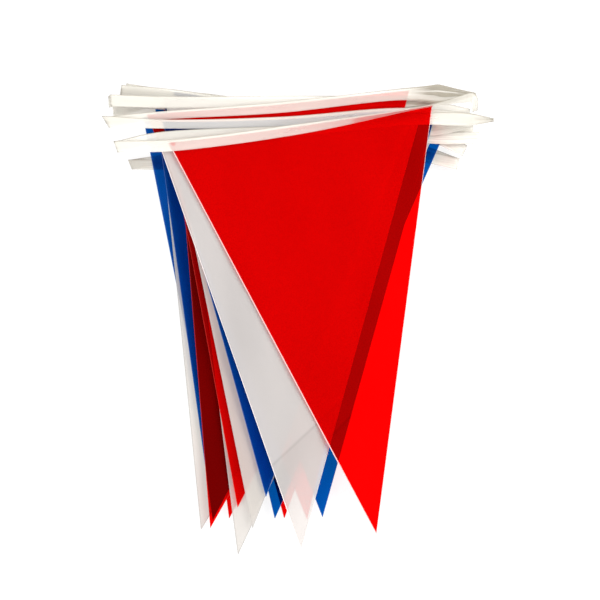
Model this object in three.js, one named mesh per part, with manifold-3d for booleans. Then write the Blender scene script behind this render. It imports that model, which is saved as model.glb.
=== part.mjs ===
// Folded pennant bunting lying flat on a table. Millimetres, +Z up.
// X runs along the heading tape, Y from the pennant tips to the tape.
import * as THREE from "three";
import { mergeVertices } from "three/addons/utils/BufferGeometryUtils.js";
import Module from "manifold-3d";

const wasm = await Module();
wasm.setup();

// Driving sizes.
const filmThickness = 1.05;
const tapeThickness = 1.4;
const tapeWidth = 8.5;
const layerGap = 0.3;
const seamGap = 0.3;
const bendLength = 2.2;
const steepest = 0.24;

// The plan grid that every layer shares. Rows are closer together under the tape.
const gridLeft = -152;
const gridRight = 148;
const gridColumns = 13;
const gridBottom = -180;
const gridShoulder = 95;
const gridTop = 185;
const openRows = 11;
const tapeRows = 8;

// Where the front pass of tape ends, loose, at the right.
const looseEnd = [129.5, 160];

// One row per pass of the tape, front first. left, right and tip are the corners of the pennant
// that shows below the tape. turn is the fold that leads to the next pass, at the left end of the
// first pass, the right end of the second, and so on in turns.
const passes = [
  { colour: "red", left: [-93.5, 125], right: [98.5, 158], tip: [57.5, -160], turn: [-134, 124] },
  { colour: "white", left: [-102.5, 129.5], right: [88, 144.5], tip: [1.5, -171], turn: [140, 144.5] },
  { colour: "blue", left: [-99.6, 141.8], right: [77, 148.5], tip: [-24.5, -131.5], turn: [-140.5, 142.5] },
  { colour: "red", left: [-114, 147.5], right: [79.8, 162.9], tip: [6, -148.5], turn: [131, 166] },
  { colour: "white", left: [-98.2, 157], right: [92, 149.5], tip: [-34.5, -155], turn: [-139, 158.5] },
  { colour: "blue", left: [-99.5, 156.5], right: [99.5, 147], tip: [17.5, -147], turn: [129, 142.5] },
  { colour: "red", left: [-100.4, 158.6], right: [95, 136.5], tip: [-45.6, -139.5], turn: [-137, 157.5] },
  { colour: "white", left: [-87, 155.5], right: [97, 131], tip: [-45.5, -175], turn: [133.5, 131] },
  { colour: "blue", left: [-91, 162.3], right: [104.5, 130.5], tip: [-18, -148], turn: [-132.5, 166] },
  { colour: "red", left: [-89, 160.5], right: [97, 136.5], tip: [-66, -155], turn: [120, 119] },
  { colour: "white", left: [-98.9, 160], right: [93.5, 137], tip: [-35, -148], turn: [-141, 158] },
  { colour: "blue", left: [-108, 159.5], right: [84, 133.5], tip: [-65, -149], turn: [129.5, 138] },
  { colour: "red", left: [-93, 161], right: [95, 135], tip: [-52, -148], turn: [-129.5, 167.5] },
  { colour: "white", left: [-105, 163.5], right: [85, 126], tip: [-73, -156.5], turn: [117, 112] },
  { colour: "blue", left: [-117, 155.5], right: [75, 126], tip: [-58.5, -138.5], turn: [-137.5, 150.5] },
  { colour: "red", left: [-94, 161], right: [99.5, 153.5], tip: [-11, -148], turn: [127, 148.5] },
  { colour: "bare", left: [-96, 112], right: [92, 141], turn: [-124, 112] },
  { colour: "bare", left: [-96, 115.6], right: [-46, 128], turn: [-20, 133] },
];

// How far the middle of a pass hangs below the straight line between its corners.
const sags = { 0: 3.6, 1: 2, 2: 3.1, 3: 1.9, 16: 3 };

// Where the tape shows another width than its own, at the left turn, the left corner, the
// middle, the right corner and the right turn of a pass: it twists edge-on or opens out there.
const shownWidths = {
  0: [8.5, 8.5, 8, 2.5, 7],
  3: [8.5, 6.2, 8, 12, 2.5],
  4: [8.5, 8.5, 8.5, 8.5, 2.5],
  16: [7.2, 7.5, 8.5, 8.5, 8.5],
  17: [7.2, 8.5, 8.5, 8.5, 8.5],
};

// How much further out the tape's top edge reaches than its lower edge at a slanted turn.
const slants = { 0: 2, 2: 4.5, 4: 1.5, 6: 1.5, 16: 2.5 };

const materials = {
  red: { color: 0xd00806, roughness: 0.42 },
  white: { color: 0xe2dad4, roughness: 0.45 },
  blue: { color: 0x0b4a92, roughness: 0.4 },
  tape: { color: 0xf8f3e9, roughness: 0.5 },
};

// Evenly spaced numbers from first to last.
function spread(first, last, steps) {
  return Array.from({ length: steps + 1 }, (_, i) => first + ((last - first) * i) / steps);
}

const columns = spread(gridLeft, gridRight, gridColumns);
const rows = [
  ...spread(gridBottom, gridShoulder, openRows),
  ...spread(gridShoulder, gridTop, tapeRows).slice(1),
];
const nodeCount = columns.length * rows.length;
const nodeAt = (i, j) => j * columns.length + i;

function flatField(height) {
  return new Float64Array(nodeCount).fill(height);
}

// The lowest field that nowhere dips under the pile and nowhere falls more steeply than a sheet
// drapes: at each node, the greatest of pile height less slope times distance.
function drape(pile) {
  const draped = flatField(0);
  const places = rows.flatMap((y) => columns.map((x) => new THREE.Vector2(x, y)));
  places.forEach((place, n) => {
    places.forEach((other, m) => {
      draped[n] = Math.max(draped[n], pile[m] - steepest * place.distanceTo(other));
    });
  });
  return draped;
}

// Which cell of a list of grid lines a value falls in.
function cellOf(lines, value) {
  return Math.min(lines.length - 2, Math.max(0, lines.findIndex((line) => line > value) - 1));
}

// Every node of every cell that a plan outline touches.
function nodesUnder(outline) {
  const touched = new Set();
  const mark = (x, y) => {
    for (const dx of [-0.7, 0, 0.7]) {
      for (const dy of [-0.7, 0, 0.7]) {
        const i = cellOf(columns, x + dx);
        const j = cellOf(rows, y + dy);
        touched.add(nodeAt(i, j)).add(nodeAt(i + 1, j));
        touched.add(nodeAt(i, j + 1)).add(nodeAt(i + 1, j + 1));
      }
    }
  };
  outline.forEach((point, index) => {
    const next = outline[(index + 1) % outline.length];
    const steps = Math.ceil(point.distanceTo(next));
    for (let s = 0; s < steps; s++) {
      const on = point.clone().lerp(next, s / steps);
      mark(on.x, on.y);
    }
  });
  const box = new THREE.Box2().setFromPoints(outline);
  for (let x = box.min.x; x < box.max.x; x += 6) {
    for (let y = box.min.y; y < box.max.y; y += 4) {
      if (isInside(outline, x, y)) mark(x, y);
    }
  }
  return touched;
}

function isInside(outline, x, y) {
  let inside = false;
  outline.forEach((a, index) => {
    const b = outline[(index + 1) % outline.length];
    if (a.y > y !== b.y > y && x < a.x + ((y - a.y) * (b.x - a.x)) / (b.y - a.y)) inside = !inside;
  });
  return inside;
}

function solidFrom(geometry) {
  const bare = new THREE.BufferGeometry().setAttribute("position", geometry.getAttribute("position"));
  bare.setIndex(geometry.index);
  const merged = mergeVertices(bare, 1e-4);
  return new wasm.Manifold(
    new wasm.Mesh({
      numProp: 3,
      vertProperties: new Float32Array(merged.attributes.position.array),
      triVerts: new Uint32Array(merged.index.array),
    }),
  );
}

// A sheet over the whole grid between two height fields.
function slab(lower, upper) {
  const positions = [];
  for (const field of [lower, upper]) {
    rows.forEach((y, j) => columns.forEach((x, i) => positions.push(x, y, field[nodeAt(i, j)])));
  }
  const index = [];
  for (let j = 0; j < rows.length - 1; j++) {
    for (let i = 0; i < columns.length - 1; i++) {
      const [a, b, c, d] = [nodeAt(i, j), nodeAt(i + 1, j), nodeAt(i + 1, j + 1), nodeAt(i, j + 1)];
      index.push(a, c, b, a, d, c);
      index.push(a + nodeCount, b + nodeCount, c + nodeCount, a + nodeCount, c + nodeCount, d + nodeCount);
    }
  }
  const side = (a, b) => index.push(a, b, b + nodeCount, a, b + nodeCount, a + nodeCount);
  for (let i = 0; i < columns.length - 1; i++) {
    side(nodeAt(i, 0), nodeAt(i + 1, 0));
    side(nodeAt(i + 1, rows.length - 1), nodeAt(i, rows.length - 1));
  }
  for (let j = 0; j < rows.length - 1; j++) {
    side(nodeAt(columns.length - 1, j), nodeAt(columns.length - 1, j + 1));
    side(nodeAt(0, j + 1), nodeAt(0, j));
  }
  const geometry = new THREE.BufferGeometry();
  geometry.setAttribute("position", new THREE.Float32BufferAttribute(positions, 3));
  geometry.setIndex(index);
  return solidFrom(geometry);
}

// The part of a slab that stands on a plan outline.
function cut(lower, upper, outline) {
  const column = new THREE.ExtrudeGeometry(new THREE.Shape(outline), { depth: 120, bevelEnabled: false });
  column.translate(0, 0, -20);
  return slab(lower, upper).intersect(solidFrom(column));
}

function lifted(field, height) {
  return field.map((value) => value + height);
}

// The tape's lower edge on one pass, left to right. z holds the tape's width there.
function tapeEdge(row, leftTurn, rightTurn, sag, widths) {
  const left = new THREE.Vector2(...row.left);
  const right = new THREE.Vector2(...row.right);
  const along = right.clone().sub(left).normalize();
  const middle = left.clone().lerp(right, 0.5);
  middle.add(new THREE.Vector2(along.y, -along.x).multiplyScalar(sag));
  const knots = [leftTurn, row.left, middle.toArray(), row.right, rightTurn];
  const curve = new THREE.CatmullRomCurve3(knots.map(([x, y], i) => new THREE.Vector3(x, y, widths[i])));
  return curve.getPoints(12);
}

// A plan line moved sideways, to the left of its direction.
function beside(line, distanceAt) {
  return line.map((point, index) => {
    const before = line[Math.max(0, index - 1)];
    const after = line[Math.min(line.length - 1, index + 1)];
    const run = new THREE.Vector2(after.x - before.x, after.y - before.y).normalize();
    const distance = distanceAt(point);
    return new THREE.Vector2(point.x - run.y * distance, point.y + run.x * distance);
  });
}

// Both edges of one pass, with the top edge drawn out at slanted turns.
function tapeEdges(edge, leftSlant, rightSlant) {
  const lower = beside(edge, () => 0);
  const upper = beside(edge, (point) => point.z);
  const last = lower.length - 1;
  upper[0].add(lower[0].clone().sub(lower[1]).setLength(leftSlant));
  upper[last].add(lower[last].clone().sub(lower[last - 1]).setLength(rightSlant));
  return { lower, upper };
}

// The end of a pass where the tape bends over to the next one.
function bendOutline({ lower, upper }, atLeft) {
  const end = atLeft ? 0 : lower.length - 1;
  const next = atLeft ? 1 : lower.length - 2;
  const inward = lower[next].clone().sub(lower[end]).setLength(bendLength);
  const corners = [lower[end], lower[end].clone().add(inward), upper[end].clone().add(inward), upper[end]];
  return atLeft ? corners : corners.reverse();
}

// Lay the passes down from the back one to the front one, each on the pile below it.
const layers = [];
let pile = flatField(0);
for (let k = passes.length - 1; k >= 0; k--) {
  const row = passes[k];
  const lastTurn = k > 0 ? passes[k - 1].turn : looseEnd;
  const turnsLeft = k % 2 === 0;
  const leftTurn = turnsLeft ? row.turn : lastTurn;
  const rightTurn = turnsLeft ? lastTurn : row.turn;
  const widths = shownWidths[k] ?? Array(5).fill(tapeWidth);
  const edge = tapeEdge(row, leftTurn, rightTurn, sags[k] ?? 0, widths);
  const ownSlant = slants[k] ?? 0;
  const lastSlant = slants[k - 1] ?? 0;
  const edges = tapeEdges(edge, turnsLeft ? ownSlant : lastSlant, turnsLeft ? lastSlant : ownSlant);
  const tapeOutline = [...edges.lower, ...[...edges.upper].reverse()];
  const bottom = drape(pile);
  const raised = pile.slice();
  const layer = { row, edges, turnsLeft, bottom, tapeOutline };
  nodesUnder(tapeOutline).forEach((n) => {
    raised[n] = Math.max(raised[n], bottom[n] + tapeThickness + layerGap);
  });
  if (row.colour !== "bare") {
    const seam = beside(edge, () => -seamGap).slice(3, 10);
    layer.filmOutline = [new THREE.Vector2(...row.tip), ...seam.reverse()];
    nodesUnder(layer.filmOutline).forEach((n) => {
      raised[n] = Math.max(raised[n], bottom[n] + filmThickness + layerGap);
    });
  }
  pile = raised;
  layers[k] = layer;
}

function meshOf(solid, name, material) {
  const mesh = solid.getMesh();
  const positions = new Float32Array(mesh.numVert * 3);
  for (let v = 0; v < mesh.numVert; v++) {
    positions.set(mesh.vertProperties.subarray(v * mesh.numProp, v * mesh.numProp + 3), v * 3);
  }
  const geometry = new THREE.BufferGeometry();
  geometry.setAttribute("position", new THREE.BufferAttribute(positions, 3));
  geometry.setIndex(new THREE.BufferAttribute(mesh.triVerts, 1));
  geometry.computeVertexNormals();
  const part = new THREE.Mesh(geometry, new THREE.MeshStandardMaterial({ metalness: 0, ...material }));
  part.name = name;
  return part;
}

const bunting = new THREE.Group();
bunting.name = "bunting";

// One heading tape through all the passes, closed at each fold by a bend.
let tape = null;
layers.forEach((layer, k) => {
  const flat = cut(layer.bottom, lifted(layer.bottom, tapeThickness), layer.tapeOutline);
  tape = tape ? tape.add(flat) : flat;
  const below = layers[k + 1];
  if (below) {
    const outline = bendOutline(layer.edges, layer.turnsLeft);
    tape = tape.add(cut(lifted(below.bottom, 0.02), lifted(layer.bottom, tapeThickness - 0.02), outline));
  }
});
bunting.add(meshOf(tape, "heading_tape", materials.tape));

layers.forEach((layer, k) => {
  if (!layer.filmOutline) return;
  const film = cut(layer.bottom, lifted(layer.bottom, filmThickness), layer.filmOutline);
  const number = String(k + 1).padStart(2, "0");
  bunting.add(meshOf(film, "pennant_" + number + "_" + layer.row.colour, materials[layer.row.colour]));
});

// The grid of the lowest layer lies at height 0, so only the plan centre is moved.
const box = new THREE.Box3().setFromObject(bunting);
const centre = box.getCenter(new THREE.Vector3());
bunting.position.set(-centre.x, -centre.y, -box.min.z);

export default bunting;
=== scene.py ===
import math

import bpy
import numpy as np
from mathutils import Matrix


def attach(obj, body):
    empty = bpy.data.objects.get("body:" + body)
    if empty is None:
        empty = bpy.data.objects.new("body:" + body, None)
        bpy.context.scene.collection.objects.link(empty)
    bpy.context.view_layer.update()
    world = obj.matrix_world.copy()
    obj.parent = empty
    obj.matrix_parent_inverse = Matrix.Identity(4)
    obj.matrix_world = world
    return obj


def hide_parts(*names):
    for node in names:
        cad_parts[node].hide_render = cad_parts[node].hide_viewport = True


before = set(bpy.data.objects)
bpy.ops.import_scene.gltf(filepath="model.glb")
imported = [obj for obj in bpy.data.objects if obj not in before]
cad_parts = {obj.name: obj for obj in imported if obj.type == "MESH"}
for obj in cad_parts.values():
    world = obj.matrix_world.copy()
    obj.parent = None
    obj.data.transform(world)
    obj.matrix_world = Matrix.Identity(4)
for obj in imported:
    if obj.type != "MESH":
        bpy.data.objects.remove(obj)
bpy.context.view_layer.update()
scene = bpy.context.scene
mm = 0.001
print("frame loaded")

# Plan of the stack in millimetres, front pass first: colour, left, right, tip and turn. The first
# three points are the corners of the pennant below the tape. The turn is the fold that leads to
# the next pass, at the left for the first pass and at the right for the second.
stackPlan = [
    ("red", (-93.5, 125), (98.5, 158), (57.5, -160), (-134, 124)),
    ("white", (-103.6, 130.5), (88, 144.5), (1.5, -171), (144, 147)),
    ("blue", (-99.6, 141.8), (77, 148.5), (-24.5, -131.5), (-140.5, 142.5)),
    ("red", (-110.8, 147.5), (79.8, 162.9), (6, -148.5), (131, 166)),
    ("white", (-98.2, 157.2), (87.5, 158), (-34.5, -155), (-139, 158.5)),
    ("blue", (-99.5, 156.5), (99.5, 147), (17.5, -147), (129, 142.5)),
    ("red", (-99.9, 156), (95, 136.5), (-45.6, -139.5), (-137, 157.5)),
    ("white", (-87, 155.5), (97, 131), (-45.5, -175), (133.5, 131)),
    ("blue", (-91, 162.3), (104.5, 130.5), (-18, -148), (-132.5, 166)),
    ("red", (-91.5, 160.5), (96, 132.5), (-66, -155), (121, 122)),
    ("white", (-98.9, 160), (93.5, 137), (-35, -148), (-141, 158)),
    ("blue", (-107.2, 159.5), (84, 133.5), (-64.2, -149), (129.5, 138)),
    ("red", (-93, 161), (95, 135), (-52, -148), (-129.5, 167.5)),
    ("white", (-105, 163.5), (90, 118), (-73, -156.5), (117, 112)),
    ("blue", (-116, 150.5), (75, 126), (-58.5, -138.5), (-137.5, 150.5)),
    ("red", (-94, 161), (99.5, 153.5), (-11, -148), (127, 148.5)),
    ("bare", (-96, 112), (92, 141), None, (-124, 112)),
    ("bare", (-96, 115.6), (-46, 128), None, (-20, 133)),
]
passes = [dict(zip(("colour", "left", "right", "tip", "turn"), row)) for row in stackPlan]
looseEnd = (127.5, 161.5)

# How far the middle of a pass hangs below the straight line between its corners.
sags = {0: 3.6, 1: 2, 2: 3.1, 3: 1.9, 15: 6, 16: 3}

# The width the tape shows at the left turn, left corner, middle, right corner and right turn of a
# pass where it is not its own: it twists edge-on or opens out. Turns are slanted by a few mm.
shownWidths = {
    0: (8.5, 8.5, 7.4, 1.4, 6.8),
    1: (8.5, 8.5, 8.5, 8.5, 9, 2.5),
    2: (8.5, 6.6, 8.5, 8.5, 8.5, 2.5),
    3: (8.5, 6.2, 8, 9, 14.5, 2.5),
    4: (8.5, 8.5, 8.5, 8.5, 2.5),
    16: (7.2, 7.5, 8.5, 8.5, 8.5),
    17: (7.2, 8.5, 8.5, 8.5, 8.5),
}
slants = {0: 2, 2: 4.5, 4: 1.5, 6: 1.5, 16: 2.5}

# One more point of the lower edge between the right corner and the right turn.
detours = {1: (127, 144), 2: (127, 144.5), 3: (104.5, 160)}

# Painted shade on the tape at the same places: how much darker and warmer it is painted, from 0
# to 1, where it lies in shade or turns from the light. Below 0 it covers more without getting
# darker.
tapeShadeTones = {
    0: (0.1, 0, 0, 0.1, 0.5),
    1: (0.3, 0.25, 0.1, 0, 0.3, 0.9),
    2: (0.15, 0, 0, 0, 0, 0.6),
    3: (0.15, 0, 0, 0.4, 1.5, 1.8),
    4: (0, 0, 0, 1.2, 0.3),
    5: (0, 0, 0, 1.2, -0.6),
    6: (0, 0, 0, -0.2, -0.6),
    7: (0, 0, 0, -0.6, -0.8),
    8: (0.3, 0.1, 0, -0.2, -0.3),
    9: (0.3, 0.1, 0, -0.2, -0.3),
    11: (0, 0, 0, -0.2, -0.4),
    13: (0, 0, 0, -0.2, -0.4),
    16: (0.3, -1, -0.5, 0, 0),
    17: (0.9, -1, -0.5, 0, 0),
}
planShift = np.array([2.98, -0.45])

# Slots are the heights that a layer takes up in the pile, slope the steepest fall of a sheet. rise
# and lean are how much the front pass and the others stand up where they show narrow.
stack = {
    "tapeWidth": 8.5,
    "tapeSlot": 1.65,
    "filmSlot": 1.3,
    "slope": 0.2,
    "rise": 0.9,
    "lean": 0.2,
    "rounds": 3,
    "cell": 3.0,
    "halfWidth": 165,
    "halfLength": 198,
}


# A curve through the knots: a cubic from each knot to the next, with its direction at a knot taken
# from the knots on both sides, paced by the square root of their distances so that it doesn't
# swing out between close knots. The ends are carried straight on.
def smoothLine(knots, perSpan):
    knots = np.array(knots, float)
    ends = np.vstack([2 * knots[0] - knots[1], knots, 2 * knots[-1] - knots[-2]])
    line = []
    for a, b, c, d in zip(ends[:-3], ends[1:-2], ends[2:-1], ends[3:]):
        steps = ((a, b), (b, c), (c, d))
        before, here, after = (math.sqrt(np.linalg.norm(q - p)) for p, q in steps)
        leave = here * ((b - a) / before - (c - a) / (before + here) + (c - b) / here)
        arrive = here * ((c - b) / here - (d - b) / (here + after) + (d - c) / after)
        t = np.linspace(0, 1, perSpan + 1)[:-1, None]
        second = 3 * (c - b) - 2 * leave - arrive
        third = leave + arrive - 2 * (c - b)
        line.append(b + leave * t + second * t**2 + third * t**3)
    return np.vstack(line + [knots[-1:]])


# Unit vectors to the left of a plan line: its own direction turned by a quarter.
def leftOf(line):
    run = np.gradient(line, axis=0)
    run /= np.linalg.norm(run, axis=1)[:, None]
    return np.stack([-run[:, 1], run[:, 0]], axis=1)


# How far along a line each of its points is: the running sum of its steps.
def distances(line):
    return np.concatenate([[0], np.cumsum(np.linalg.norm(np.diff(line, axis=0), axis=1))])


cell = stack["cell"]
halfWidth, halfLength = stack["halfWidth"], stack["halfLength"]
gridX, gridY = np.meshgrid(
    np.arange(-halfWidth, halfWidth + 1, cell), np.arange(-halfLength, halfLength + 1, cell)
)


# The field moved by whole cells, with its border rows and columns repeated.
def shifted(field, down, across):
    rows, columns = field.shape
    row = np.clip(np.arange(rows) + down, 0, rows - 1)
    column = np.clip(np.arange(columns) + across, 0, columns - 1)
    return field[row][:, column]


# The greatest value within reach cells, less slope times the distance.
def carried(field, reach, slope):
    best = field
    for down in (-reach, 0, reach):
        for across in (-reach, 0, reach):
            fall = slope * cell * math.hypot(down, across)
            best = np.maximum(best, shifted(field, down, across) - fall)
    return best


# Where a sheet comes to lie on the pile: never under it, never steeper than slope, and rounded.
def rested(pile):
    field = pile
    for reach in (1, 2, 4, 8, 16, 32):
        field = carried(field, reach, stack["slope"])
    for _ in range(stack["rounds"]):
        field = carried(field, 1, 0)
    for _ in range(stack["rounds"]):
        field = sum(shifted(field, d, 0) for d in (-1, 0, 1)) / 3
        field = sum(shifted(field, 0, d) for d in (-1, 0, 1)) / 3
    return field


# Height of the field between its nodes: the four around, each weighted by its nearness in x and
# y. The border keeps the next row and column on the grid.
def heightAt(field, x, y):
    border = 1.001
    column = np.clip((x - gridX[0, 0]) / cell, 0, gridX.shape[1] - border)
    row = np.clip((y - gridY[0, 0]) / cell, 0, gridX.shape[0] - border)
    i, j = column.astype(int), row.astype(int)
    fx, fy = column - i, row - j
    low = field[j, i] * (1 - fx) + field[j, i + 1] * fx
    high = field[j + 1, i] * (1 - fx) + field[j + 1, i + 1] * fx
    return low * (1 - fy) + high * fy


# Grid nodes inside an outline, where a line to the right crosses it an odd number of times, or
# within one cell of it.
def footprint(outline):
    inside = np.zeros(gridX.shape, bool)
    for a, b in zip(outline, np.roll(outline, -1, axis=0)):
        if a[1] != b[1]:
            crosses = (a[1] > gridY) != (b[1] > gridY)
            inside ^= crosses & (gridX < a[0] + (gridY - a[1]) * (b[0] - a[0]) / (b[1] - a[1]))
    for a, b in zip(outline, np.roll(outline, -1, axis=0)):
        along = np.linspace(a, b, int(np.linalg.norm(b - a) / (cell / 2)) + 2)
        column = np.rint((along[:, 0] - gridX[0, 0]) / cell).astype(int)
        row = np.rint((along[:, 1] - gridY[0, 0]) / cell).astype(int)
        inside[row, column] = True
    return carried(inside.astype(float), 1, 0) > 0.5


# Lay the passes down from the back one to the front one. The seam of a pennant is the two spans
# of its tape's lower edge from the left corner over the middle to the right corner.
perSpan = 24
seamPart = slice(perSpan, 3 * perSpan + 1)
pile = np.zeros(gridX.shape)
for k in reversed(range(len(passes))):
    row = passes[k]
    lastTurn = passes[k - 1]["turn"] if k else looseEnd
    leftTurn, rightTurn = (row["turn"], lastTurn) if k % 2 == 0 else (lastTurn, row["turn"])
    left, right = np.array(row["left"], float), np.array(row["right"], float)
    chord = (right - left) / np.linalg.norm(right - left)
    middle = (left + right) / 2 + sags.get(k, 0) * np.array([chord[1], -chord[0]])
    widths = shownWidths.get(k, (stack["tapeWidth"],) * 5)
    tones = tapeShadeTones.get(k, (0,) * 5)
    spots = [leftTurn, left, middle, right, *([detours[k]] if k in detours else []), rightTurn]
    knots = [(*spot, width, tone) for spot, width, tone in zip(spots, widths, tones)]
    line = smoothLine(knots, perSpan)
    row["edge"] = line[:, :2] + planShift
    row["across"] = leftOf(row["edge"])
    row["width"], row["tone"] = line[:, 2], line[:, 3]
    edgeOn = np.sqrt(np.clip(stack["tapeWidth"] ** 2 - row["width"] ** 2, 0, None))
    row["lean"] = edgeOn * stack["rise" if k == 0 else "lean"]
    row["field"] = rested(pile)
    band = np.vstack([row["edge"], (row["edge"] + line[:, 2:3] * row["across"])[::-1]])
    raised = np.where(footprint(band), row["field"] + stack["tapeSlot"], 0)
    if row["colour"] != "bare":
        seam = row["edge"][seamPart]
        film = np.vstack([np.array([row["tip"]]) + planShift, seam[::-1]])
        raised = np.maximum(raised, np.where(footprint(film), row["field"] + stack["filmSlot"], 0))
    pile = np.maximum(pile, raised)
print("stack laid, %.1f mm high" % pile.max())


# A grid of points, rows by columns, as a mesh object in metres with its UV maps.
def gridObject(name, points, uvMaps, material):
    rows, columns = points.shape[:2]
    index = np.arange(rows * columns).reshape(rows, columns)
    faces = np.stack([index[:-1, :-1], index[:-1, 1:], index[1:, 1:], index[1:, :-1]], axis=-1)
    faces = faces.reshape(-1, 4)
    mesh = bpy.data.meshes.new(name)
    mesh.vertices.add(rows * columns)
    mesh.vertices.foreach_set("co", (points * mm).astype(np.float32).ravel())
    mesh.loops.add(faces.size)
    mesh.loops.foreach_set("vertex_index", faces.astype(np.int32).ravel())
    mesh.polygons.add(len(faces))
    mesh.polygons.foreach_set("loop_start", np.arange(0, faces.size, 4, dtype=np.int32))
    mesh.polygons.foreach_set("use_smooth", np.ones(len(faces), bool))
    for title, uv in uvMaps.items():
        layer = mesh.uv_layers.new(name=title)
        layer.data.foreach_set("uv", uv.reshape(-1, 2)[faces.ravel()].astype(np.float32).ravel())
    mesh.update(calc_edges=True)
    mesh.materials.append(material)
    piece = bpy.data.objects.new(name, mesh)
    scene.collection.objects.link(piece)
    return piece


# Film of this thickness in mm, half of it on each side of the grid.
def thicken(piece, thickness):
    wall = piece.modifiers.new("film", "SOLIDIFY")
    wall.thickness = thickness * mm
    wall.offset = 0
    wall.use_even_offset = False
    return piece


# Shader values that add, multiply and so on like numbers.
class Wire:
    def __init__(self, tree, socket):
        self.tree = tree
        self.socket = socket

    def maths(self, operation, first, second):
        node = self.tree.nodes.new("ShaderNodeMath")
        node.operation = operation
        for slot, value in zip(node.inputs, (first, second)):
            if isinstance(value, Wire):
                self.tree.links.new(value.socket, slot)
            else:
                slot.default_value = value
        return Wire(self.tree, node.outputs[0])

    def __add__(self, other):
        return self.maths("ADD", self, other)

    def __radd__(self, other):
        return self.maths("ADD", other, self)

    def __sub__(self, other):
        return self.maths("SUBTRACT", self, other)

    def __rsub__(self, other):
        return self.maths("SUBTRACT", other, self)

    def __mul__(self, other):
        return self.maths("MULTIPLY", self, other)

    def __rmul__(self, other):
        return self.maths("MULTIPLY", other, self)

    def __abs__(self):
        return self.maths("ABSOLUTE", self, 0.0)

    def lesser(self, other):
        return self.maths("MINIMUM", self, other)

    # Another output of the node that this value comes from.
    def output(self, index):
        return Wire(self.tree, self.socket.node.outputs[index])


# A material that starts empty and is built node by node.
class Paint:
    def __init__(self, name):
        self.material = bpy.data.materials.new(name)
        self.material.use_nodes = True
        self.tree = self.material.node_tree
        self.tree.nodes.clear()

    # Any node by its type, with plain settings and with inputs that are wires or values.
    def node(self, kind, settings=None, inputs=None, output=0):
        node = self.tree.nodes.new("ShaderNode" + kind)
        for key, value in (settings or {}).items():
            setattr(node, key, value)
        for key, value in (inputs or {}).items():
            if isinstance(value, Wire):
                self.tree.links.new(value.socket, node.inputs[key])
            else:
                node.inputs[key].default_value = value
        return Wire(self.tree, node.outputs[output]) if len(node.outputs) else None

    # A Mix node has its colours at inputs 6 and 7 and at output 2.
    def blend(self, factor, first, second):
        settings = {"data_type": "RGBA"}
        return self.node("Mix", settings, {0: factor, 6: first, 7: second}, 2)

    def uvMap(self, title):
        return self.node("UVMap", {"uv_map": title})

    def mapping(self, vector, alongScale):
        return self.node("Mapping", None, {"Vector": vector, "Scale": (1, alongScale, 1)})

    def noise(self, vector, scale, detail):
        return self.node("TexNoise", None, {"Vector": vector, "Scale": scale, "Detail": detail})

    def split(self, vector):
        return self.node("SeparateXYZ", None, {"Vector": vector})

    # 0 at the first value and 1 at the second, in between in proportion.
    def ramp(self, value, first, second):
        return self.node("MapRange", None, {"Value": value, "From Min": first, "From Max": second})

    def bump(self, height, strength, distance):
        inputs = {"Strength": strength, "Distance": distance, "Height": height}
        return self.node("Bump", None, inputs)

    # Film that lets the tinted light behind it through where it doesn't cover.
    def film(self, cover, tint, principled):
        clear = self.node("BsdfTransparent", None, {"Color": (*tint, 1)})
        shader = self.node("MixShader", None, {0: cover, 1: clear, 2: principled})
        self.node("OutputMaterial", None, {"Surface": shader})
        return self.material


# base and deep are the covering colour in light and dark patches, tint is what the film does to
# the light from behind, cover is the share that it covers, rim the colour of a painted highlight
# along the cut edge (painted shade on white), reach the width of that rim, and glow an emission
# that paints onto the white films the light scattered through the pile.
filmLook = {
    "red": {
        "base": (0.74, 0.001, 0.001),
        "deep": (0.64, 0.0, 0.0),
        "tint": (0.98, 0.004, 0.003),
        "rim": (0.8, 0.06, 0.05),
        "reach": 0.0007,
        "cover": 0.19,
        "glow": 0.0,
    },
    "white": {
        "base": (0.45, 0.43, 0.405),
        "deep": (0.38, 0.36, 0.34),
        "tint": (1.0, 0.98, 0.965),
        "rim": (0.3, 0.285, 0.27),
        "reach": 0.0011,
        "cover": 0.5,
        "glow": 0.4,
    },
    "second": {
        "base": (0.62, 0.585, 0.565),
        "deep": (0.49, 0.465, 0.45),
        "tint": (1.0, 0.98, 0.965),
        "rim": (0.8, 0.72, 0.7),
        "reach": 0.0009,
        "cover": 0.52,
        "glow": 0.0,
    },
    "blue": {
        "base": (0.0, 0.028, 0.29),
        "deep": (0.0, 0.009, 0.17),
        "tint": (0.006, 0.36, 0.71),
        "rim": (0.2, 0.35, 0.65),
        "reach": 0.0007,
        "cover": 0.21,
        "glow": 0.0,
    },
    "dense": {
        "base": (0.0, 0.054, 0.31),
        "deep": (0.0, 0.04, 0.25),
        "tint": (0.006, 0.36, 0.71),
        "rim": (0.2, 0.35, 0.65),
        "reach": 0.0007,
        "cover": 0.45,
        "glow": 0.0,
    },
}
filmLook["front"] = {**filmLook["red"], "rim": (0.97, 0.82, 0.79), "reach": 0.0012}

# The grain's scales are for UV maps in metres. Stretches draw it out along the pennant.
filmGrain = {
    "stretch": 0.35,
    "softScale": 26.0,
    "broadScale": 30.0,
    "drawnStretch": 0.02,
    "drawnScale": 900.0,
    "softHeight": 1.3,
    "drawnHeight": 0.015,
    "bumpStrength": 0.5,
    "bumpDistance": 0.002,
    "roughness": 0.38,
    "unevenRoughness": 0.1,
    "unevenCover": 0.06,
    "shine": 0.05,
}

# A cut edge shows as a thin rim of painted highlight, or of painted shade on white. A bright rim
# is a stronger painted highlight. It is narrower on the right side, by this factor.
filmEdgeShading = {
    "plain": {"narrower": 1.0, "tone": 0.6, "cover": 0.2},
    "bright": {"narrower": 3.0, "tone": 1.0, "cover": 0.5},
}

# A crease is painted as shade: a dark line along it and a darker step on one side. Half the width
# of that line, half the width of the step, and how far past the crease that step fades out, in
# metres, with how dark the line and the step are.
filmCreaseShade = {
    "halfLine": 0.0016,
    "halfStep": 0.0006,
    "fade": 0.05,
    "lineTone": 0.18,
    "stepTone": 0.09,
    "dark": 0.3,
}
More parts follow.
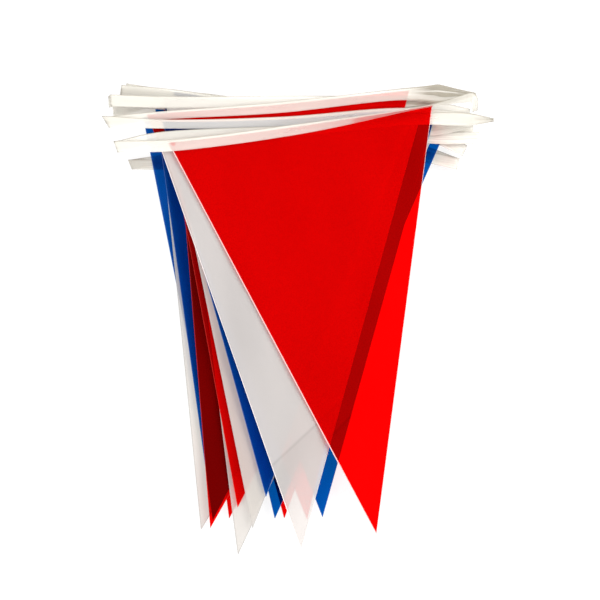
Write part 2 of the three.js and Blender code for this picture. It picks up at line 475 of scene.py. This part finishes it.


# Blown film: soft wrinkles, fine drawn lines along the pennant, a cut edge painted as a thin
# highlight (as shade on white), creases painted as shade, and on white films a painted glow.
def filmMaterial(colour, name, shade=1.0, edgeShadingKind="plain"):
    look = filmLook[colour]
    edgeShading = filmEdgeShading[edgeShadingKind]
    base, deep = ([value * shade for value in look[part]] for part in ("base", "deep"))
    dark = [value * filmCreaseShade["dark"] for value in deep]
    paint = Paint(name)
    flat = paint.uvMap("flat")
    stretched = paint.mapping(flat, filmGrain["stretch"])
    soft = paint.noise(stretched, filmGrain["softScale"], 3.0)
    broad = paint.noise(stretched, filmGrain["broadScale"], 1.5)
    lines = paint.mapping(flat, filmGrain["drawnStretch"])
    drawn = paint.noise(lines, filmGrain["drawnScale"], 2.0)
    height = soft * filmGrain["softHeight"] + drawn * filmGrain["drawnHeight"]
    bump = paint.bump(height, filmGrain["bumpStrength"], filmGrain["bumpDistance"])
    leftSide = paint.split(paint.uvMap("rim"))
    rightSide = leftSide.output(1)
    # rim is 1 at the cut edge: there it paints a highlight, or shade on white.
    nearest = leftSide.lesser(rightSide * edgeShading["narrower"])
    rim = paint.ramp(nearest, look["reach"], look["reach"] * 0.5)
    plain = paint.blend(broad, (*base, 1), (*deep, 1))
    crease = paint.split(paint.uvMap("crease"))
    # Painted shade at a crease: a dark line along it and a darker step on one side that fades out.
    line = paint.ramp(abs(crease), filmCreaseShade["halfLine"], 0.0)
    beyond = paint.ramp(crease, -filmCreaseShade["halfStep"], filmCreaseShade["halfStep"])
    fade = paint.ramp(crease, filmCreaseShade["fade"], 0.0)
    creaseShade = line * filmCreaseShade["lineTone"] + beyond * fade * filmCreaseShade["stepTone"]
    plain = paint.blend(creaseShade, plain, (*dark, 1))
    tone = paint.blend(rim * edgeShading["tone"], plain, (*look["rim"], 1))
    cover = look["cover"] + (soft - 0.5) * filmGrain["unevenCover"] + rim * edgeShading["cover"]
    # The emission is painted light: on white films it stands for light scattered through the pile.
    inputs = {
        "Base Color": tone,
        "Roughness": filmGrain["roughness"] + soft * filmGrain["unevenRoughness"],
        "Specular IOR Level": filmGrain["shine"],
        "Normal": bump,
        "Emission Color": tone,
        "Emission Strength": look["glow"],
    }
    principled = paint.node("BsdfPrincipled", None, inputs)
    return paint.film(cover, look["tint"], principled)


tapeLook = {
    "base": (0.84, 0.815, 0.745),
    "pale": (0.91, 0.89, 0.835),
    "shaded": (0.33, 0.3, 0.24),
    "tint": (1.0, 0.995, 0.988),
    "cover": 0.29,
    "unevenCover": 0.1,
    "shadeCover": 0.3,
    "roughness": 0.42,
    "unevenRoughness": 0.1,
    "stretch": 0.12,
    "softScale": 110.0,
    "fineScale": 160.0,
    "fineHeight": 0.12,
    "bumpStrength": 0.35,
    "bumpDistance": 0.001,
    # The rim is a painted shadow line along the tape's top fold, where its layers meet.
    "rimStart": 0.0009,
    "rimFull": 0.0003,
    "rimTone": 0.8,
    "pleatStretch": 0.035,
    "pleatScale": 700.0,
    "pleatFrom": 0.4,
    "pleatTo": 0.6,
    "pleatShare": 0.8,
}


# The tape's film: long soft creases, with painted shade, darker and warmer, in its bends, along
# its top fold and where tapeShadeTones puts it. The second number of its rim map is that painted
# shade.
def tapeMaterial():
    paint = Paint("white_tape")
    flat = paint.uvMap("flat")
    soft = paint.noise(paint.mapping(flat, tapeLook["stretch"]), tapeLook["softScale"], 3.0)
    fine = paint.noise(flat, tapeLook["fineScale"], 2.0)
    height = soft + fine * tapeLook["fineHeight"]
    bump = paint.bump(height, tapeLook["bumpStrength"], tapeLook["bumpDistance"])
    fromRim = paint.split(paint.uvMap("rim"))
    toneMap = fromRim.output(1)
    rim = paint.ramp(fromRim, tapeLook["rimStart"], tapeLook["rimFull"])
    pleated = paint.mapping(flat, tapeLook["pleatStretch"])
    pleats = paint.noise(pleated, tapeLook["pleatScale"], 2.0)
    streaks = paint.ramp(pleats, tapeLook["pleatFrom"], tapeLook["pleatTo"])
    streaked = streaks * tapeLook["pleatShare"] + (1 - tapeLook["pleatShare"])
    # Painted shade: the tone streaked along the pleats, plus the painted shadow line of the rim.
    shade = toneMap * streaked + rim * tapeLook["rimTone"]
    clean = paint.blend(soft, (*tapeLook["base"], 1), (*tapeLook["pale"], 1))
    cover = tapeLook["cover"] + (soft - 0.5) * tapeLook["unevenCover"]
    cover += abs(shade) * tapeLook["shadeCover"]
    inputs = {
        "Base Color": paint.blend(shade, clean, (*tapeLook["shaded"], 1)),
        "Roughness": tapeLook["roughness"] + soft * tapeLook["unevenRoughness"],
        "Normal": bump,
    }
    return paint.film(cover, tapeLook["tint"], paint.node("BsdfPrincipled", None, inputs))


materials = {colour: filmMaterial(colour, colour + "_film") for colour in ("red", "white", "blue")}
materials["tape"] = tapeMaterial()

# Passes that differ from the others of their colour: look, name, shade and rim. The shade darkens
# the colour of three red passes lower in the pile as painted shade, and the front two passes have
# a brighter painted highlight along their cut edge.
ownFilms = {
    0: ("front", "front_film", 1.0, "bright"),
    1: ("second", "second_film", 1.0, "bright"),
    6: ("red", "third_shaded_film", 0.72),
    9: ("red", "shaded_film", 0.45),
    12: ("red", "dim_film", 0.55),
    14: ("dense", "dense_film"),
}
for k, settings in ownFilms.items():
    materials[k] = filmMaterial(*settings)

# hidden is how far the film runs up into the tape. From backPass on it is barelyHidden, as the
# tape there isn't dense enough to cover it. Lengths are in mm, and fades run from the tape down.
pennant = {
    "across": 48,
    "along": 140,
    "hiddenRows": 3,
    "hidden": 7.0,
    "hiddenShare": 0.8,
    "backPass": 12,
    "barelyHidden": 1.0,
    "leastHidden": 0.3,
    "tipShare": 0.9985,
    "thickness": 0.2,
    "liftAtTape": 0.85,
    "lift": 0.62,
    "liftFade": 15,
    "waves": 5,
    "wavelengths": (45, 120),
    "wave": 0.28,
    "waveSum": 2.2,
    "waveFade": 40,
    "waveLimit": 0.42,
    "creaseFade": 20,
    "flatWidth": 200,
    "flatStep": 0.41,
}

# Soft creases right across a pennant: pass, two points of the line, height and reach in mm.
creases = [
    (1, (-17, -105), (11, -79), 0.4, 2.2),
    (0, (50, -59), (71, -37), 0.4, 2.5),
    (1, (-50, 20), (-35, 5), -0.3, 5.0),
    (0, (-60, 110), (20, 60), -0.3, 9.0),
    (0, (0, 145), (60, 40), 0.25, 8.0),
]

# The first two are also painted as shade in the film's colour, by pass.
shadedCreases = {owner: (begin, end) for owner, begin, end, *_ in creases[:2]}


# Distance to the right of the line from start to stop.
def pastLine(x, y, start, stop):
    start, stop = np.array(start) + planShift, np.array(stop) + planShift
    along = (stop - start) / np.linalg.norm(stop - start)
    return (x - start[0]) * along[1] - (y - start[1]) * along[0]


# Each pennant is a grid of its width by its length: a straight line from each point of the top
# edge to the tip, lifted to the height where the sheet rests, plus low waves.
pieces = {}
for k, row in enumerate(passes):
    if row["colour"] == "bare":
        continue
    rng = np.random.default_rng(20 + k)
    seam = row["edge"][seamPart]
    share = np.linspace(0, 1, pennant["across"] + 1)
    marks = np.linspace(0, 1, len(seam))
    topX, topY, tapeWidth, lean = (
        np.interp(share, marks, values)
        for values in (seam[:, 0], seam[:, 1], row["width"][seamPart], row["lean"][seamPart])
    )
    top = np.stack([topX, topY], axis=1)
    tip = np.array(row["tip"]) + planShift
    length = np.linalg.norm(tip - top.mean(axis=0))
    least = pennant["leastHidden"]
    most = pennant["hidden" if k < pennant["backPass"] else "barelyHidden"]
    hidden = np.clip(tapeWidth * pennant["hiddenShare"] - least, least, most)
    first = -hidden[None] / length
    underTape = first * np.linspace(1, 0, pennant["hiddenRows"] + 1)[:-1, None]
    below = np.linspace(0, pennant["tipShare"], pennant["along"])[:, None] + 0 * first
    v = np.vstack([underTape, below])
    plan = top[None] * (1 - v[..., None]) + tip * v[..., None]
    x, y = plan[..., 0], plan[..., 1]
    fromTape = v * length + pennant["hidden"]
    wave = np.zeros(x.shape)
    for _ in range(pennant["waves"]):
        angle, phase = rng.uniform(0, np.pi), rng.uniform(0, 2 * np.pi)
        wavelength = rng.uniform(*pennant["wavelengths"])
        wave += np.sin(2 * np.pi * (x * np.cos(angle) + y * np.sin(angle)) / wavelength + phase)
    waveShare = np.clip(fromTape / pennant["waveFade"], 0, 1)
    wave *= pennant["wave"] / pennant["waveSum"] * waveShare
    down = np.clip((fromTape - pennant["hidden"]) / pennant["liftFade"], 0, 1)
    lift = pennant["liftAtTape"] + (pennant["lift"] - pennant["liftAtTape"]) * down
    creaseShare = np.clip(fromTape / pennant["creaseFade"] - 0.5, 0, 1)
    for owner, begin, end, height, reach in creases:
        if owner == k:
            offset = pastLine(x, y, begin, end)
            wave += height * np.exp(-np.abs(offset) / reach) * creaseShare
    limit = pennant["waveLimit"]
    above = np.clip(-v * length, 0, None)
    z = heightAt(row["field"], x, y) + lift + np.clip(wave, -limit, limit)
    z += above / tapeWidth * lean

    # The rim map holds the distance to each side. The flat map is moved on from piece to piece,
    # so that no two show the same wrinkles. Off the creased pennants, the crease is 1 m away.
    flatWidth = pennant["flatWidth"]
    flat = np.stack([(share[None] - 0.5) * (1 - v) * flatWidth, fromTape], axis=-1) * mm
    flat += pennant["flatStep"] * (k + 1)
    rim = np.stack([share[None] * (1 - v), (1 - share[None]) * (1 - v)], axis=-1) * flatWidth * mm
    rim += above[..., None] * mm
    pastCrease = pastLine(x, y, *shadedCreases[k]) * mm if k in shadedCreases else np.ones(x.shape)
    crease = np.stack([pastCrease, pastCrease * 0], axis=-1)
    colour = row["colour"]
    name = "film_%02d_%s" % (k + 1, colour)
    material = materials.get(k, materials[colour])
    uvMaps = {"flat": flat, "rim": rim, "crease": crease}
    piece = gridObject(name, np.stack([x, y, z], axis=-1), uvMaps, material)
    pieces[k] = thicken(piece, pennant["thickness"])
    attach(piece, "root")
    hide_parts("pennant_%02d_%s" % (k + 1, colour))
    colour + "_film"
print("pennants made")

tapeShape = {
    "leaf": 0.34,
    "thickness": 0.2,
    "lift": 0.85,
    "crossSteps": 9,
    "foldSteps": 5,
    "bendSteps": 9,
    "leastBend": 0.5,
    "bendTone": 1.3,
    "bendShade": 0.5,
    "slantReach": 16,
}

# The loose end bends over to the right and down: how far its low and high edges go in plan, how
# far the high edge swings out on the way, how much the end droops, and its painted shade where it
# turns from the light.
endShape = {
    "steps": 9,
    "low": np.array([1.1, -7.4]),
    "high": np.array([5.2, -13.3]),
    "swing": np.array([7.4, 0.0]),
    "droop": 5.0,
    "tone": 0.3,
}

# The tape's section runs from the free edge of the front leaf over the top fold to the free edge
# of the back leaf. section is the share of the width from the seam, sectionHeight the height.
leaf = tapeShape["leaf"]
foldShare = 1 - leaf / stack["tapeWidth"]
leafRun = np.linspace(0, foldShare, tapeShape["crossSteps"])
foldTurn = np.linspace(0, np.pi, tapeShape["foldSteps"] + 2)[1:-1]
foldRun = foldShare + (1 - foldShare) * np.sin(foldTurn)
section = np.concatenate([leafRun, foldRun, leafRun[::-1]])[:, None]
sectionHeight = np.concatenate([leafRun * 0 + leaf, leaf * np.cos(foldTurn), leafRun * 0 - leaf])


# Heights of the section's middle where it rests on a field.
def resting(field, reach):
    return heightAt(field, reach[:, 0], reach[:, 1]) + tapeShape["lift"]


# The tape sweeps that section along every pass and round a half circle at each turn. It runs to
# the left on even passes, with its front leaf up, and to the right on odd ones, with it down.
stations, paintedShadeAt = [], []
for k, row in enumerate(passes):
    leftward = k % 2 == 0
    side, order = (1.0, -1) if leftward else (-1.0, 1)
    edge, across, width, tone, lean = (
        row[part][::order] for part in ("edge", "across", "width", "tone", "lean")
    )
    heading = np.gradient(edge, axis=0)
    heading /= np.linalg.norm(heading, axis=1)[:, None]
    run = distances(edge)
    slantReach = tapeShape["slantReach"]
    slant = slants.get(k, 0) * np.clip(1 - (run[-1] - run) / slantReach, 0, 1) ** 2
    slant -= slants.get(k - 1, 0) * np.clip(1 - run / slantReach, 0, 1) ** 2
    spans = across * width[:, None] + heading * slant[:, None]

    # Half the height between this pass and its neighbour is the radius of the bend, and the
    # straight part stops that far short of the turn.
    radii = [0.0, 0.0]
    ends = [passes[k - 1] if k else None, passes[k + 1] if k + 1 < len(passes) else None]
    for at, (near, spot) in enumerate(zip(ends, (edge[0], edge[-1]))):
        if near is not None:
            own = heightAt(row["field"], *spot[:, None])[0]
            other = heightAt(near["field"], *spot[:, None])[0]
            radii[at] = max(tapeShape["leastBend"], abs(own - other) / 2)
    hair = 1e-6
    keep = (run >= radii[0] - hair) & (run <= run[-1] - radii[1] + hair)
    if k == 0:
        for t in np.linspace(1, 0, endShape["steps"] + 1)[:-1]:
            low = edge[0] + t * endShape["low"]
            high = edge[0] + spans[0] + 2 * t * (1 - t) * endShape["swing"]
            high = high + t**2 * endShape["high"]
            reach = low + section * (high - low)
            z = resting(row["field"], reach) + side * sectionHeight
            z = z + lean[0] * section[:, 0] - endShape["droop"] * t**2
            stations.append(np.column_stack([reach, z]))
            paintedShadeAt.append(endShape["tone"])
    paintedShadeAt += list(tone[keep])
    for place, span, rise in zip(edge[keep], spans[keep], lean[keep]):
        reach = place + section * span
        z = resting(row["field"], reach) + side * sectionHeight
        stations.append(np.column_stack([reach, z + rise * section[:, 0]]))
    if ends[1] is not None:
        radius = radii[1]
        outward = heading[-1]
        normal = across[-1] + ends[1]["across"][0 if leftward else -1]
        span = normal / np.linalg.norm(normal) * width[-1] + outward * slant[-1]
        reach = edge[-1] - radius * outward + section * span
        upper = resting(row["field"], reach) + lean[-1] * section[:, 0]
        lower = resting(ends[1]["field"], reach) + lean[-1] * section[:, 0]
        for turn in np.linspace(0, np.pi, tapeShape["bendSteps"] + 2)[1:-1]:
            swing = (radius + side * sectionHeight) * np.sin(turn)
            z = (upper + lower) / 2 + ((upper - lower) / 2 + side * sectionHeight) * np.cos(turn)
            stations.append(np.column_stack([reach + swing[:, None] * outward, z]))
            # Painted shade towards the outer edge of the bend, where it is seen edge-on.
            shade = np.exp(radius * (np.sin(turn) - 1) / tapeShape["bendShade"])
            paintedShadeAt.append(tone[-1] + tapeShape["bendTone"] * shade)
ribbon = np.array(stations)
lengths = distances(ribbon[:, 0])
widths = distances(np.column_stack([section[:, 0] * stack["tapeWidth"], sectionHeight]))
flat = np.stack(np.meshgrid(widths, lengths), axis=-1) * mm
rim = np.stack(np.meshgrid(np.abs(widths - widths[-1] / 2) * mm, np.array(paintedShadeAt)), axis=-1)
tape = gridObject("tape", ribbon, {"flat": flat, "rim": rim}, materials["tape"])
thicken(tape, tapeShape["thickness"])
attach(tape, "root")
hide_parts("heading_tape")
tapeFlat = (round(widths[-1] * mm, 4), round(lengths[-1] * mm, 3))
for k, piece in pieces.items():
    below = pieces.get(k + 1, tape)
print("tape made, %.2f m long" % (lengths[-1] * mm))

floorLook = {
    "dark": (0.19, 0.19, 0.19, 1),
    "pale": (0.2, 0.2, 0.2, 1),
    "grain": 40.0,
    "roughness": 0.9,
    "glow": 0.82,
    "half": 9000.0,
}
floorPaint = Paint("floor")
grain = floorPaint.node("TexNoise", None, {"Scale": floorLook["grain"]})
floorInputs = {
    "Base Color": floorPaint.blend(grain, floorLook["dark"], floorLook["pale"]),
    "Roughness": floorLook["roughness"],
    "Emission Color": (1, 1, 1, 1),
    "Emission Strength": floorLook["glow"],
}
floorShader = floorPaint.node("BsdfPrincipled", None, floorInputs)
floorPaint.node("OutputMaterial", None, {"Surface": floorShader})
half = floorLook["half"]
corners = np.array([[[-half, -half, 0], [half, -half, 0]], [[-half, half, 0], [half, half, 0]]])
floor = gridObject("floor", corners, {"flat": corners[..., :2] * mm}, floorPaint.material)

# A bright room and two broad lamps, each with its place, size and power. Overhead the room is dim,
# so that it doesn't mirror in the film: from room to ceiling as a direction's height goes from
# dimFrom to dimAt.
light = {
    "room": 1.4,
    "ceiling": 0.05,
    "dimFrom": 0.75,
    "dimAt": 0.97,
    "key": ((1.3, 1.0, 1.3), 1.2, 46.0),
    "fill": ((-1.5, -0.6, 1.3), 1.4, 22.0),
}
world = bpy.data.worlds.new("room")
world.use_nodes = True
sky = world.node_tree
background = sky.nodes["Background"]
place = sky.nodes.new("ShaderNodeTexCoord")
split = sky.nodes.new("ShaderNodeSeparateXYZ")
fade = sky.nodes.new("ShaderNodeMapRange")
fade.inputs["From Min"].default_value = light["dimFrom"]
fade.inputs["From Max"].default_value = light["dimAt"]
fade.inputs["To Min"].default_value = light["room"]
fade.inputs["To Max"].default_value = light["ceiling"]
sky.links.new(place.outputs["Generated"], split.inputs["Vector"])
sky.links.new(split.outputs["Z"], fade.inputs["Value"])
sky.links.new(fade.outputs["Result"], background.inputs["Strength"])
background.inputs["Color"].default_value = (1, 1, 1, 1)
scene.world = world


# A square lamp that faces the origin.
def areaLamp(name, place, size, power):
    data = bpy.data.lights.new(name, "AREA")
    data.shape = "SQUARE"
    data.size = size
    data.energy = power
    lamp = bpy.data.objects.new(name, data)
    lamp.location = place
    aim = -np.array(place, float)
    tilt = math.atan2(math.hypot(aim[0], aim[1]), -aim[2])
    lamp.rotation_euler = (tilt, 0, math.atan2(-aim[0], aim[1]))
    scene.collection.objects.link(lamp)


for name in ("key", "fill"):
    areaLamp(name, *light[name])

# Straight down, from far off. The picture is span metres wide at the height of the stack, and x
# and y are the place in plan, in millimetres, that its middle shows.
view = {"distance": 4.5, "stackHeight": 0.02, "span": 0.4448, "x": 0.74, "y": 14.83}
lens = bpy.data.cameras.new("camera")
lens.sensor_width = 36
lens.lens = lens.sensor_width * view["distance"] / view["span"]
lens.clip_end = 50
camera = bpy.data.objects.new("camera", lens)
middle = planShift + (view["x"], view["y"])
camera.location = (*(middle * mm), view["distance"] + view["stackHeight"])
scene.collection.objects.link(camera)
scene.camera = camera
scene.view_settings.view_transform = "Standard"

print("scene made")
